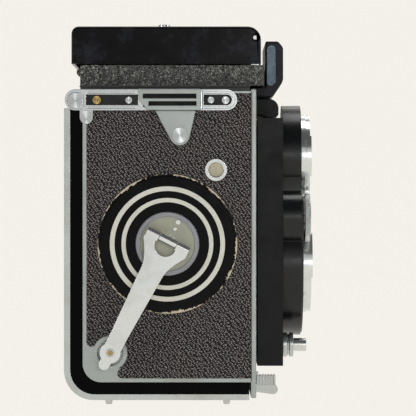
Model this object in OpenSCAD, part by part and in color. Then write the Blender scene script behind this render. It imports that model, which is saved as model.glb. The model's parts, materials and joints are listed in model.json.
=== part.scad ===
// Twin lens reflex camera for 6 x 6 cm roll film, crank wound.
// Millimetres. +X is the lens side, +Z is up and the crank is on the -Y side.
// The origin is the mouth of the tripod bush, in the plane of the feet.

/* [Body] */
// Front face of the body casting
body_front = 34.1; // [33.6:0.1:34.6]
// Rear face of the body casting
body_back = -29; // [-29.4:0.1:-28.8]
// Height at which the body casting starts above the feet
body_bottom = 8.85; // [8.6:0.05:9.2]
// Height of the top of the body casting
body_top = 118; // [117:0.5:119]
// Half width of the body casting across its sides
body_half = 37.2; // [37:0.1:37.6]
// Radius of the lower rear corner of the casting
body_corner = 7; // [6:0.5:8]

/* [Film path] */
// Height of the taking lens axis, which is the centre of the film gate
taking_z = 52.3; // [52:0.1:53]
// Distance between the viewing and taking lens axes
lens_gap = 41.9; // [41.5:0.1:42.5]
// Side of the square film gate
gate_size = 56; // [54:1:56]
// Radius of a film spool's flange
spool_r = 12.5; // [12:0.1:12.6]

/* [Crank] */
// Distance from the crank's fold pin to the centre of its knob
crank_reach = 46.9; // [44:0.1:47]
// Angle of the stowed crank arm from straight down, towards the rear
crank_lean = 27.3; // [20:0.1:35]
// Radius of the black disc round the crank hub
crank_disc_r = 26.2; // [25:0.1:27]
// Module of the wind gears
gear_module = 0.8; // [0.78:0.01:0.8]

/* [Lenses] */
// Half width of the lens standard
standard_half = 30.5; // [29:0.5:31]
// Radius of the bright ring of the taking lens
taking_ring_r = 18.6; // [17.6:0.1:18.6]
// Radius of the bright ring of the viewing lens
viewing_ring_r = 16.4; // [15.6:0.1:16.6]
// Radius of the knurled setting wheels
wheel_r = 9.3; // [8.8:0.1:9.3]

/* [Hood] */
// Half width of the hood lid
lid_half = 32.3; // [32:0.1:33]
// Height of the top of the hood lid
lid_top = 142.8; // [142.2:0.1:143]
// Rear end of the hood lid
lid_back = -33.6; // [-34:0.1:-33]
// Front end of the hood lid
lid_front = 38; // [37.5:0.1:38]

/* [Hidden] */
$fn = 64;

// Running clearance of a shaft in its bore
run_gap = 0.05;
viewing_z = taking_z + lens_gap;

// Layers of the crank side, counted outwards as -Y
plate_out = body_half + 1;
leather_out = plate_out + 0.7;
wall_in = 33.2;
gear_wall = 34.4;

// Axes of the crank, the spools, the counter dial and the film roller, and the counter window, as [x, z]
crank_axis = [2.8, 60.75];
take_up_axis = [-17.5, 94];
supply_axis = [17.5, 22.5];
dial_axis = [21, 94];
counter_window = [21, 88.5];
roller_axis = [-24.5, 16.5];

// Hinge axes across the camera, as [x, z]
door_axis = [-31.65, 114.3];
lid_axis = [35.8, 138.6];
magnifier_axis = [10, 137];

// Wind gears: crank, idler and take-up
crank_teeth = 40;
idler_teeth = 30;
take_up_teeth = 20;
to_take_up = take_up_axis - crank_axis;
drive_span = norm(to_take_up);
crank_idler = gear_module * (crank_teeth + idler_teeth) / 2;
idler_take_up = gear_module * (idler_teeth + take_up_teeth) / 2;
take_up_angle = atan2(to_take_up[1], to_take_up[0]);
idler_angle = take_up_angle
    - acos((crank_idler ^ 2 + drive_span ^ 2 - idler_take_up ^ 2) / (2 * crank_idler * drive_span));
idler_axis = crank_axis + crank_idler * [cos(idler_angle), sin(idler_angle)];
last_angle = atan2(take_up_axis[1] - idler_axis[1], take_up_axis[0] - idler_axis[0]);

// Crank: its fold pin crosses the hub face, and its knob rides at the end of the arm
pin_place = [3.15, 62];
pin_out = 47.4;
arm_t = 1.6;
arm_in = pin_out - arm_t / 2;
knob_tip = 41.2;
knob_r = 3.8;
recess_place = [-18.7, 19.8];
lug_half = 3.5;

// Mirror: centre of its face and half its length along the slope
mirror_x = 3.4;
mirror_half = 27;

// Helpers: outlines drawn as (x, z) are extruded across, outlines drawn as (y, z) are extruded forwards
module across(y0, y1) { translate([0, y1, 0]) rotate([90, 0, 0]) linear_extrude(y1 - y0) children(); }
module forwards(x0, x1) { translate([x0, 0, 0]) rotate([90, 0, 90]) linear_extrude(x1 - x0) children(); }
module both_sides() {
    children();
    mirror([0, 1, 0]) children();
}
module block(low, high) { translate(low) cube(high - low); }
module rod_y(place, r, y0, y1) { across(y0, y1) translate(place) circle(r); }
module rod_x(place, r, x0, x1) { forwards(x0, x1) translate(place) circle(r); }
module tube_y(place, outer, inner, y0, y1) {
    across(y0, y1) translate(place) difference() { circle(outer); circle(inner); }
}
module tube_x(place, outer, inner, x0, x1) {
    forwards(x0, x1) translate(place) difference() { circle(outer); circle(inner); }
}

// Rectangle whose lower left corner is rounded
module one_corner(low, high, r) {
    translate([low[0] + r, low[1]]) square([high[0] - low[0] - r, high[1] - low[1]]);
    translate([low[0], low[1] + r]) square([high[0] - low[0], high[1] - low[1] - r]);
    translate([low[0] + r, low[1] + r]) circle(r);
}
module body_outline(inset) {
    one_corner([body_back + inset, body_bottom + inset], [body_front - inset, body_top - inset],
        body_corner - inset);
}

// Spur gear outline with straight flanks and generous backlash
module gear_outline(teeth, turn) {
    pitch_r = gear_module * teeth / 2;
    step = 360 / teeth;
    shape = [[-0.27, -1.1], [-0.19, 0], [-0.1, 0.8], [0.1, 0.8], [0.19, 0], [0.27, -1.1]];
    polygon([for (i = [0:teeth - 1], p = shape)
        (pitch_r + p[1] * gear_module) * [cos(turn + (i + p[0]) * step), sin(turn + (i + p[0]) * step)]]);
}
// Turn that sets a gear's tooth space on the line of centres to its driver's tooth
function meshed(line_angle, driver_turn, driver_teeth, teeth) =
    line_angle + 180 + 180 / teeth - (driver_turn - line_angle) * driver_teeth / teeth;
idler_turn = meshed(idler_angle, 0, crank_teeth, idler_teeth);
take_up_turn = meshed(last_angle, idler_turn, idler_teeth, take_up_teeth);

// Cast body: side walls, front wall, light chamber, gate, spool pins, gear chamber and guide rods
chamber_floor = [[-27.8, 21], [10, 36.2], [31.6, 40.7], [31.6, 42], [10, 37.5], [-27.8, 22.3]];
chamber_roof = [for (p = chamber_floor) [p[0], 2 * taking_z - p[1]]];
module body_casting() {
    color("dimgray") difference() {
        union() {
            across(wall_in, body_half) body_outline(0);
            across(-gear_wall, -wall_in) body_outline(0);
            across(-body_half, -gear_wall) difference() { body_outline(0); body_outline(2); }
            block([31.6, -body_half, body_bottom], [body_front, body_half, body_top]);
            block([-24.9, -wall_in, 116.5], [31.6, wall_in, body_top]);
            block([body_back, -wall_in, 112.1], [-24.9, wall_in, body_top]);
            block([-27.8, -wall_in, 21], [-26.4, wall_in, 84]);
            across(-wall_in, wall_in) polygon(chamber_floor);
            across(-wall_in, wall_in) polygon(chamber_roof);
            for (y = [-20, 10]) {
                rod_y(door_axis, 2.2, y, y + 10);
                block([door_axis[0], y, 112.6], [body_back, y + 10, 116.4]);
            }
            rod_y(idler_axis, 2, -36.9, -gear_wall);
            rod_y(dial_axis, 1, -37.1, -gear_wall);
            rod_y(supply_axis, 2.9, -wall_in, -28.6);
            for (y = [-rod_y_place, rod_y_place], z = [21, 103]) rod_x([y, z], 2, body_front, 43.4);
            tube_x([0, taking_z], 15, 14, body_front, 35.4);
        }
        block([-27.9, -gate_size / 2, taking_z - gate_size / 2], [-26.3, gate_size / 2, taking_z + gate_size / 2]);
        block([mirror_x - 28, -28, 116], [mirror_x + 28, 28, 119]);
        rod_x([0, taking_z], 14, 31, 36);
        rod_x([0, viewing_z], 14.5, 31, 36);
        rod_y(door_axis, 1.2, -30, 30);
        rod_y(crank_axis, 4 + run_gap, -gear_wall - 1, -wall_in + 1);
        rod_y(take_up_axis, 3 + run_gap, -gear_wall - 1, -wall_in + 1);
        rod_y(roller_axis, 1.5 + run_gap, -gear_wall - 1, -wall_in + 1);
        rod_y(roller_axis, 1.5 + run_gap, wall_in - 1, wall_in + 2);
        for (axis = [take_up_axis, supply_axis]) rod_y(axis, 2.9 + run_gap, wall_in - 1, body_half + 1);
        rod_y(recess_place, 5.6, -gear_wall - 0.9, -wall_in - 0.5);
    }
}

// Plated side plates with a raised rim, and the cup that the stowed crank points at
rim_w = 1.4;
ring_out = 6.45;
corner_r = 1.85;
module panel_outline() {
    one_corner([body_back + rim_w, body_bottom + rim_w], [body_front, body_top - 0.7], body_corner - rim_w);
}
module leather_gap() {
    translate(recess_place) circle(ring_out);
    translate([-31, 5]) square([recess_place[0] + 31, recess_place[1] - 5]);
    difference() {
        translate([-31, 5]) square([7.1, 19]);
        translate([-23.9 - corner_r, 24]) circle(corner_r);
    }
    difference() {
        translate([-31, 5]) square([16.8, 9]);
        translate([-14.2, 14 - corner_r]) circle(corner_r);
    }
}
module rim_outline() {
    difference() {
        body_outline(0);
        panel_outline();
        rail_outline();
    }
}
module side_plates() {
    color("silver") {
        difference() {
            union() {
                across(-plate_out, -body_half) body_outline(0);
                across(-leather_out, -plate_out) rim_outline();
                across(-leather_out, -plate_out) intersection() { panel_outline(); leather_gap(); }
                rod_y(recess_place, 6.2, -leather_out - 0.5, -plate_out);
                rod_y(recess_place, 5.5, -plate_out, -35.2);
            }
            rod_y(recess_place, 4.9, -leather_out - 1, -35.8);
            rod_y(crank_axis, 4.4, -plate_out - 1, -body_half + 1);
            rod_y(counter_window, 4.2, -plate_out - 1, -body_half + 1);
        }
        difference() {
            union() {
                across(body_half, plate_out) body_outline(0);
                across(plate_out, leather_out) rim_outline();
            }
            for (axis = [take_up_axis, supply_axis]) rod_y(axis, 4, body_half - 1, plate_out + 1);
        }
    }
}

// Leather on both sides, cut round the strap rails
module leather_outline() {
    difference() {
        panel_outline();
        rail_outline();
    }
}
module side_leathers() {
    color("#1c1718") {
        across(-leather_out, -plate_out) difference() {
            leather_outline();
            leather_gap();
            translate(crank_axis) circle(crank_disc_r);
            translate(counter_window) circle(4.2);
        }
        across(plate_out, leather_out) difference() {
            leather_outline();
            for (axis = [take_up_axis, supply_axis]) translate(axis) circle(8.6);
        }
    }
}

// Front plate: a frame round the lens standard, with a pocket and an arc slot for the focusing lever
module front_plate() {
    color("#8d9091") difference() {
        forwards(body_front, 36.1) difference() {
            translate([-38.4, 2.85]) square([76.8, 118.8 - 2.85]);
            translate([-31, 14.1]) square([62, 94.7]);
        }
        block([33, -22, 4.4], [35.4, 22, 15]);
        block([33, -17, 8], [37, 17, 14.7]);
    }
}

// Strap rails on both sides, with recessed panels and the boss over the back's hinge
rail_z = 114.65;
rail_r = 3.95;
rail_out = 42.2;
bridge_out = 44.6;
module rail_outline() {
    translate([door_axis[0], rail_z - rail_r]) square([56.6, 2 * rail_r]);
    for (x = [door_axis[0], 24.95]) translate([x, rail_z]) circle(rail_r);
}
// Round-ended band along the rail, from the divider by the boss to the rail's front end
rail_front = 24.95;
divider_x = -27.6;
module rail_band(half) {
    translate([divider_x, rail_z - half]) square([rail_front - divider_x, 2 * half]);
    translate([rail_front, rail_z]) circle(half);
}
module rail_panels() {
    intersection() {
        rail_band(1.95);
        union() {
            translate([divider_x, 110]) square([19.5, 10]);
            translate([16.4, 110]) square([20, 10]);
        }
    }
}
module strap_rails() {
    color("silver") both_sides() difference() {
        across(-rail_out, -plate_out) rail_outline();
        across(-rail_out - 1, -rail_out + 0.9) rail_panels();
        across(-rail_out - 1, -rail_out + 0.5) difference() {
            rail_band(3.2);
            rail_band(2.4);
            translate([-9, 110]) square([25.4, 10]);
            translate([divider_x - 1, 110]) square([1.5, 10]);
        }
        across(-rail_out - 1, -rail_out + 0.6) {
            translate(door_axis) circle(3.1);
            translate([door_axis[0], door_axis[1] - 3.1]) square([divider_x - 0.9 - door_axis[0], 6.2]);
        }
        block([15.4, -rail_out - 1, 111.2], [16, -rail_out + 0.9, 118.1]);
        block([-6.3, -rail_out - 1, 112], [14.2, -rail_out + 2.4, 117.4]);
    }
}

// Slotted bridges that take the strap, each with a tongue plate that runs down over the leather
tongue_tip = [7.4, 101.4];
tongue_r = 3.75;
tongue_z = 110.7;
function tangent_point(corner, side) =
    let (to = corner - tongue_tip)
    let (a = atan2(to[1], to[0]) + side * acos(tongue_r / norm(to)))
    tongue_tip + tongue_r * [cos(a), sin(a)];
module strap_bridges() {
    color("silver") both_sides() {
        difference() {
            across(-bridge_out, -rail_out) difference() {
                translate([-8.1, tongue_z]) square([23.4, 7.9]);
                polygon([[-9, tongue_z - 1], [-4.6, tongue_z - 1], [-4.6, tongue_z], [-8.1, 115.2], [-9, 115.2]]);
            }
            block([-6.3, -bridge_out - 1, 115.2], [13.7, -rail_out + 1, 116.8]);
            block([-4.2, -bridge_out - 1, 112.5], [13.7, -rail_out + 1, 114]);
        }
        across(-leather_out - 1, -leather_out) {
            polygon([[-1.8, tongue_z], tangent_point([-1.8, tongue_z], 1), tongue_tip,
                tangent_point([13.4, tongue_z], -1), [13.4, tongue_z]]);
            translate(tongue_tip) circle(tongue_r);
        }
    }
}

// Slotted screw heads and domed rivets of the rails
module slotted_head(place, r, y, h, turn) {
    difference() {
        rod_y(place, r, y, y + h);
        translate([place[0], y, place[1]]) rotate([0, turn, 0]) cube([3 * r, 1.1, r * 0.3], center = true);
    }
}
tab_place = [-27.6, 108.2];
tab_r = 2.45;
module rail_screws() {
    color("gainsboro") both_sides() {
        slotted_head(door_axis, 2.75, -rail_out - 0.8, 1.4, -25);
        slotted_head([-11.6, 114.5], 1.25, -rail_out, 0.9, 60);
        slotted_head([19.1, 114.6], 1.2, -rail_out, 0.9, 100);
        slotted_head([24.6, 114.5], 1.4, -rail_out, 0.9, 90);
        rod_y(tongue_tip, 2.8, -leather_out - 1.8, -leather_out - 1);
        rod_y(tab_place, tab_r, -leather_out - 0.9, -leather_out);
        block([tab_place[0] - tab_r, -leather_out - 0.9, tab_place[1]],
            [tab_place[0] + tab_r, -leather_out, rail_z - rail_r]);
    }
}
module brass_screws() {
    color("goldenrod") both_sides() slotted_head([-23.6, 114.6], 1.6, -rail_out, 0.9, 40);
}

// Fixed disc round the crank, with two bright rings let into it
module crank_plate() {
    color("#08080a") difference() {
        union() {
            rod_y(crank_axis, crank_disc_r, -plate_out - 1.1, -plate_out);
            rod_y(crank_axis, crank_disc_r - 1, -plate_out - 1.5, -plate_out);
        }
        rod_y(crank_axis, 12, -plate_out - 2, -plate_out + 1);
        for (ring = [[21.6, 19.8], [17.25, 15.6]])
            tube_y(crank_axis, ring[0], ring[1], -plate_out - 2, -plate_out - 0.8);
    }
}
module crank_rings() {
    color("silver") for (ring = [[21.6, 19.8], [17.25, 15.6]])
        tube_y(crank_axis, ring[0], ring[1], -plate_out - 1.9, -plate_out - 0.8);
}

// Film counter window
module counter_bezel() {
    color("silver") difference() {
        rod_y(counter_window, 4.2, -leather_out - 0.6, -body_half - 0.1);
        rod_y(counter_window, 2.8, -leather_out - 1, -body_half + 1);
    }
}
module counter_glass() { color("ivory") rod_y(counter_window, 2.8, -leather_out - 0.1, -leather_out + 0.7); }

// Mirror at 45 degrees and the plate that carries it
module sloped(low, high, half) {
    translate([mirror_x, 0, viewing_z]) rotate([0, -45, 0])
        block([low, -half, -mirror_half], [high, half, mirror_half]);
}
module mirror_glass() { color("lightblue") sloped(-1, 0, 28); }
module mirror_cradle() { color("black") sloped(-1.8, -1, wall_in); }

// Focusing screen under the hood
module focusing_screen() {
    color("honeydew") block([mirror_x - 28.6, -28.6, 119.9], [mirror_x + 28.6, 28.6, 121.5]);
}

// Plain strip on the body top, and the hood base with two ribs down each side and a catch at the rear
hood_back = -30.3;
hood_front = 39.1;
hood_half = 31.5;
module hood_trim() {
    color("#4a4b4c") difference() {
        union() {
            block([hood_back, -31, body_top], [33.9, 31, 120.5]);
            block([hood_back - 0.2, -31.9, 119.9], [33.9, 31.9, 120.5]);
        }
        block([mirror_x - 28, -28, 117], [mirror_x + 28, 28, 122]);
        block([mirror_x - 28.6, -28.6, 119.9], [mirror_x + 28.6, 28.6, 122]);
    }
}
module hood_base() {
    color("#3b3d3a") {
        difference() {
            block([hood_back, -hood_half, 120.5], [hood_front, hood_half, 128.2]);
            block([mirror_x - 29.5, -29.2, 120], [mirror_x + 29.5, 29.2, 129]);
            block([mirror_x + 28, -29.2, 127.2], [hood_front - 2, 29.2, 129]);
        }
        across(-6, 6) {
            translate([-31.3, 126.8]) circle(1.6);
            translate([-31.3, 125.2]) square([1.2, 3.2]);
        }
        for (x = [-18.7, 27.8], y = [-hood_half, hood_half]) intersection() {
            translate([x, y, 121.2]) cylinder(r = 2.4, h = 6.6);
            block([x - 3, -hood_half - 1, 121], [x + 3, hood_half + 1, 128]);
        }
    }
}

// Nameplate block in front of the hood, carried on a foot over the front plate
module nameplate_block() {
    color("#101216") across(-28, 28) polygon([[34.3, 118.8], [36.1, 118.8], [36.1, 116.2], [42.4, 116.2],
        [46.1, 121.7], [46.5, 123], [46.5, 135.1], [44.6, 137.4], [39.75, 137.4], [39.75, 120.1],
        [34.3, 120.1]]);
}

// Rounded cap over the lens standard
cap_low = 109.6;
cap_r = 3.6;
cap_x = 41.3;
cap_centre_z = 112.2;
module finder_cap() {
    color("#1a1c20") across(-22, 22) {
        translate([36.1, cap_low]) square([cap_x - 36.1, cap_centre_z + cap_r - cap_low]);
        translate([36.1, cap_low]) square([cap_x + cap_r - 36.1, cap_centre_z - cap_low]);
        translate([cap_x, cap_centre_z]) circle(cap_r);
    }
}

// Hinge pins of the back and of the hood lid, with the lid's two brackets
module hinge_pins() {
    color("gainsboro") {
        rod_y(door_axis, 1.2, -29.8, 29.8);
        both_sides() {
            rod_y(lid_axis, 0.8, -32.2, -29.1);
            across(-30.9, -29.3) difference() {
                union() {
                    translate([lid_axis[0] - 1.5, 128.2]) square([3, lid_axis[1] - 128.2]);
                    translate(lid_axis) circle(1.5);
                }
                translate(lid_axis) circle(0.8);
            }
        }
    }
}

// Hood lid: a box open below, with slots for the hinge brackets
lid_low = 128.6;
module lid_outline(inset) {
    x0 = lid_back + inset;
    x1 = lid_front - inset;
    z1 = lid_top - inset;
    front_r = 5 - inset;
    rear_r = 2.8 - inset;
    translate([x0, lid_low]) square([x1 - x0, z1 - front_r - lid_low]);
    translate([x0, lid_low]) square([x1 - front_r - x0, z1 - rear_r - lid_low]);
    translate([x0 + rear_r, lid_low]) square([x1 - front_r - x0 - rear_r, z1 - lid_low]);
    translate([x0 + rear_r, z1 - rear_r]) circle(rear_r);
    translate([x1 - front_r, z1 - front_r]) circle(front_r);
}
module hood_lid() {
    color("#0b0c12") difference() {
        across(-lid_half, lid_half) lid_outline(0);
        across(-lid_half + 1.1, lid_half - 1.1) {
            lid_outline(1.3);
            translate([lid_back + 1.3, lid_low - 1]) square([lid_front - lid_back - 2.6, 2]);
        }
        for (y = [-31.2, 29]) block([33.2, y, 128], [39, y + 2.2, 142]);
        rod_y(lid_axis, 0.8 + run_gap, -33, -31);
        rod_y(lid_axis, 0.8 + run_gap, 31, 33);
        for (y = [-15.5, 14]) block([8.7, y, 138.4], [11.4, y + 1.5, 140.2]);
    }
}

// Catch on the lid that frees the folding magnifier: a button on a small plate
module lid_catch() {
    color("silver") {
        block([-2.2, -4, lid_top], [4.2, 4, lid_top + 0.5]);
        translate([1, 0, lid_top]) cylinder(r = 2.4, h = 2.7);
    }
}

// Folding leaves of the hood: each is cut at 45 degrees where it meets its neighbour
flap_z = 129.8;
flap_t = 0.8;
flap_y = 28.2;
flap_back = -28.3;
flap_front = 29.5;
flap_h = 27.2;
module side_flap() {
    translate([0, 0, flap_z]) {
        linear_extrude(flap_t) polygon([[flap_back + 1.2, flap_y], [flap_back + 1.2 + flap_h, flap_y - flap_h],
            [flap_front - flap_h, flap_y - flap_h], [flap_front, flap_y]]);
        translate([flap_back + 4, flap_y, flap_t / 2]) rotate([0, 90, 0]) cylinder(r = 0.8, h = 50);
    }
}
module side_flap_left() { color("#15161a") side_flap(); }
module side_flap_right() { color("#15161a") mirror([0, 1, 0]) side_flap(); }
module rear_flap() {
    color("#15161a") translate([0, 0, flap_z]) {
        linear_extrude(flap_t) polygon([[flap_back, -flap_y + 1.2], [flap_back + 26, -flap_y + 27.2],
            [flap_back + 26, flap_y - 27.2], [flap_back, flap_y - 1.2]]);
        translate([flap_back, -24, flap_t / 2]) rotate([-90, 0, 0]) cylinder(r = 0.8, h = 48);
    }
}

// Folding magnifier: a frame on a pin in the lid, and its lens
magnifier_r = 11;
magnifier_x = magnifier_axis[0] - 17;
module magnifier_frame() {
    color("black") difference() {
        union() {
            translate([magnifier_x, 0, magnifier_axis[1] - 0.8]) cylinder(r = 13, h = 1.6);
            block([magnifier_x, -13, magnifier_axis[1] - 0.8], [magnifier_axis[0], 13, magnifier_axis[1] + 0.8]);
            rod_y(magnifier_axis, 0.8, -15.4, 15.4);
        }
        translate([magnifier_x, 0, magnifier_axis[1] - 1]) cylinder(r = magnifier_r, h = 2);
    }
}
module magnifier_lens() {
    color("lightcyan") translate([magnifier_x, 0, magnifier_axis[1] - 0.8]) cylinder(r = magnifier_r, h = 1.6);
}

// Back: an L-shaped door that runs down the rear and along the bottom
door_half = 37.8;
door_top = 111.7;
door_front = 33.5;
module door_band(outer, outer_r, inner, inner_r) {
    intersection() {
        difference() {
            one_corner(outer, [200, 200], outer_r);
            one_corner(inner, [300, 300], inner_r);
        }
        translate([-50, 0]) square([50 + door_front, door_top]);
    }
}
module door_shell() {
    color("silver") difference() {
        union() {
            across(-door_half, door_half) door_band([-36.1, 2.06], 11.3, [-33.75, 4.25], 9.2);
            for (y = [-29, -9.8, 20.2]) {
                len = y == -9.8 ? 19.6 : 8.8;
                rod_y(door_axis, 2.2, y, y + len);
                block([-35.2, y, 110], [-33.85, y + len, 114]);
                block([-33.85, y, 112.5], [door_axis[0], y + len, 116]);
            }
        }
        rod_y(door_axis, 1.2 + run_gap, -30, 30);
        block([-37, -34, 14], [-35.6, 34, 109]);
        translate([0, 0, 1]) cylinder(r = 7, h = 5);
    }
}
module door_frame() {
    color("#37383c") {
        both_sides() across(-37.4, -35) door_band([-33.75, 4.25], 9.2, [-29.3, 8.55], 7);
        both_sides() rod_y([-31.35, 108.9], 0.95, -37.7, -37.4);
        block([31.5, -35, 4.25], [door_front, 35, 8.55]);
        block([-33.75, -35, 108.7], [-29.3, 35, door_top]);
    }
}
module door_leather() { color("#1c1718") block([-36.1, -34, 14], [-35.6, 34, 109]); }

// Four feet on the bottom of the back
module feet() {
    color("silver") for (x = [-19.5, 25], y = [-29, 29])
        translate([x, y, 0]) cylinder(r1 = 1.2, r2 = 1.55, h = 2.06);
}

// Tripod bush, and the ring round it that locks the back
bush_r = 7;
module tripod_bush() {
    color("gainsboro") difference() {
        cylinder(r = bush_r, h = 7.6);
        translate([0, 0, -1]) cylinder(r = 3.2, h = 7.6);
    }
}
module back_lock_ring() {
    color("silver") difference() {
        union() {
            translate([0, 0, 0.5]) cylinder(r = 12, h = 1.4);
            translate([-1.5, 9, 0.5]) cube([3, 8, 1.4]);
        }
        cylinder(r = bush_r + run_gap, h = 5);
        for (a = [45:90:315]) rotate(a) translate([9.6, 0, 0]) cylinder(r = 0.9, h = 5);
    }
}

// Spring-loaded pressure plate behind the film gate, with two bowed leaf springs on its back
module pressure_plate() {
    color("#26262a") {
        block([-29.6, -30, 22], [-28.3, 30, 83]);
        for (y = [-15, 15], side = [-1, 1]) across(y - 3, y + 3) polygon([[-29.6, taking_z + side * 14],
            [-29.6, taking_z + side * 17], [-32.4, taking_z + side * 8], [-32.4, taking_z], [-31.8, taking_z],
            [-31.8, taking_z + side * 7.4]]);
    }
}

// Crank hub: a turning disc with a raised bezel, two rivets, the shaft behind it and the fold pin's lug
module crank_hub() {
    color("#a9ab9b") {
        difference() {
            rod_y(crank_axis, 11.8, -42, -plate_out - 0.3);
            rod_y(crank_axis, 10.2, -43, -41.4);
        }
        rod_y(crank_axis, 4, -plate_out - 0.3, -wall_in - 0.2);
        rod_y([6.8, 68.9], 0.95, -41.8, -41.4);
        rod_y([5.6, 66.3], 0.7, -41.8, -41.4);
        fold_frame() difference() {
            union() {
                block([-lug_half, 0, -1.4], [lug_half, pin_out - 41.4, 1.4]);
                rotate([0, 90, 0]) cylinder(r = 1.4, h = 2 * lug_half, center = true);
            }
            rotate([0, 90, 0]) cylinder(r = 0.7, h = 8, center = true);
        }
    }
}
// Frame of the fold pin: X along the pin, -Z along the stowed arm, -Y outwards
module fold_frame() {
    translate([pin_place[0], -pin_out, pin_place[1]]) rotate([0, crank_lean, 0]) children();
}

// Folding crank arm with two knuckles on the fold pin and a thumb lobe past the knob.
// Its edge runs in a hollow curve from the shoulder to the waist, then tapers to the knob.
lobe_r = 2.05;
lobe_reach = 4.85;
shoulder = 8.7;
waist = 4.4;
waist_at = 12.5;
arm_edge = [[shoulder, 0],
    for (t = [3:1.9:waist_at]) [waist + (shoulder - waist) * ((waist_at - t) / (waist_at - 3)) ^ 1.5, -t],
    [3.3, -39], [3.3, -crank_reach]];
module crank_arm() {
    color("silver") fold_frame() difference() {
        union() {
            across(-arm_t / 2, arm_t / 2) {
                polygon(concat(arm_edge, [for (i = [len(arm_edge) - 1:-1:0]) [-arm_edge[i][0], arm_edge[i][1]]]));
                translate([0, -crank_reach]) circle(3.9);
                translate([-lobe_r, -crank_reach - lobe_reach]) square([2 * lobe_r, lobe_reach]);
                translate([0, -crank_reach - lobe_reach]) circle(lobe_r);
            }
            rotate([0, 90, 0]) cylinder(r = 1.4, h = 17.4, center = true);
        }
        rotate([0, 90, 0]) cylinder(r = 0.7, h = 20, center = true);
        block([-lug_half - 0.15, -2, -2.2], [lug_half + 0.15, 2, 2]);
        intersection() {
            rotate([90, 0, 0]) translate([0, -2, -2]) cylinder(r = 4.1, h = 4);
            block([-5, -3, -7], [5, 3, -2]);
        }
        across(-2, 2) translate([0, -crank_reach]) circle(1);
    }
}

// Fold pin and the shouldered rivet that the knob turns on
knob_place = pin_place - crank_reach * [sin(crank_lean), cos(crank_lean)];
module crank_pins() {
    color("goldenrod") {
        fold_frame() rotate([0, 90, 0]) for (s = [-1, 1])
            translate([0, 0, s * 6.2]) cylinder(r = 0.7, h = 5, center = true);
        rod_y(knob_place, 1, -pin_out - 0.8, -knob_tip - 0.4);
        rod_y(knob_place, 1.7, -pin_out - 1.1, -pin_out - 0.8);
        tube_y(knob_place, 0.95, 0.35, -pin_out - 1.4, -pin_out - 1.1);
        rod_y(knob_place, 2, -knob_tip - 0.5, -knob_tip - 0.1);
    }
}
module crank_knob() {
    color("silver") difference() {
        rod_y(knob_place, knob_r, -arm_in + 0.15, -knob_tip);
        rod_y(knob_place, 1 + run_gap, -arm_in - 1, -knob_tip + 1);
        rod_y(knob_place, 2.15, -knob_tip - 0.65, -knob_tip + 1);
    }
}

// Wind gears in the chamber behind the side plate
gear_out = 36.6;
gear_in = 35;
module crank_gear() {
    color("goldenrod") across(-gear_out, -gear_in) difference() {
        translate(crank_axis) gear_outline(crank_teeth, 0);
        translate(crank_axis) circle(4);
    }
}
module idler_gear() {
    color("goldenrod") across(-gear_out, -gear_in) difference() {
        translate(idler_axis) gear_outline(idler_teeth, idler_turn);
        translate(idler_axis) circle(2 + run_gap);
    }
}
module take_up_gear() {
    color("goldenrod") {
        across(-gear_out, -gear_in) translate(take_up_axis) gear_outline(take_up_teeth, take_up_turn);
        rod_y(take_up_axis, 3, -gear_in, -wall_in - 0.1);
        rod_y(take_up_axis, 2.9, -wall_in - 0.1, -28);
    }
}

// Film spools: a core between two flanges, with a socket at each end
spool_half = 32.7;
module spool(axis, right_socket) {
    difference() {
        union() {
            rod_y(axis, 5.7, -spool_half, spool_half);
            for (s = [-1, 1]) rod_y(axis, spool_r, s * (spool_half - 0.6) - 0.6, s * (spool_half - 0.6) + 0.6);
        }
        rod_y(axis, right_socket, -spool_half - 1, -26);
        rod_y(axis, 2.9 + run_gap, 26, spool_half + 1);
    }
}
module take_up_spool() { color("#202022") spool(take_up_axis, 2.9); }
module supply_spool() { color("#202022") spool(supply_axis, 2.9 + run_gap); }
module film_roller() {
    color("silver") {
        rod_y(roller_axis, 3.2, -spool_half, spool_half);
        rod_y(roller_axis, 1.5, -34.3, 34.9);
    }
}
module counter_dial() {
    color("ivory") tube_y(dial_axis, 7.9, 1 + run_gap, -37.1, -36.7);
}

// Knurled knobs on the far side that lift the spool keys out
module spool_knob(axis) {
    rod_y(axis, 2.9, 28.3, 39.4);
    across(39.4, 45) translate(axis) knurled(7.8, 40, 0.4);
    rod_y(axis, 6.6, 45, 45.6);
}
module knurled(r, teeth, depth) {
    polygon([for (i = [0:teeth - 1], p = [[0, 0], [0.3, 0], [0.5, 1], [0.8, 1]])
        (r - p[1] * depth) * [cos((i + p[0]) * 360 / teeth), sin((i + p[0]) * 360 / teeth)]]);
}
module take_up_knob() { color("silver") spool_knob(take_up_axis); }
module supply_knob() { color("silver") spool_knob(supply_axis); }

// Focusing lever: a ring round the lens opening, and an arm whose tip comes out below the standard
module focus_lever() {
    color("silver") {
        tube_x([0, taking_z], 18.5, 15 + run_gap, 34.2, 35.2);
        block([34.2, -2.5, 6.2], [35.2, 2.5, taking_z - 16]);
        block([35.2, -2.5, 8.4], [37.5, 2.5, 10.4]);
        block([36.7, -4, 5.7], [44.2, 4, 8.9]);
        for (x = [36.9:1.1:43.5]) block([x, -4.4, 5.7], [x + 0.6, 4.4, 9.3]);
        across(-4.4, 4.4) {
            polygon([[36.4, 5.75], [36.4, 2.9], [43.2, 1.95], [43.2, 5.75]]);
            translate([43.2, 3.85]) circle(1.9);
        }
    }
}

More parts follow.
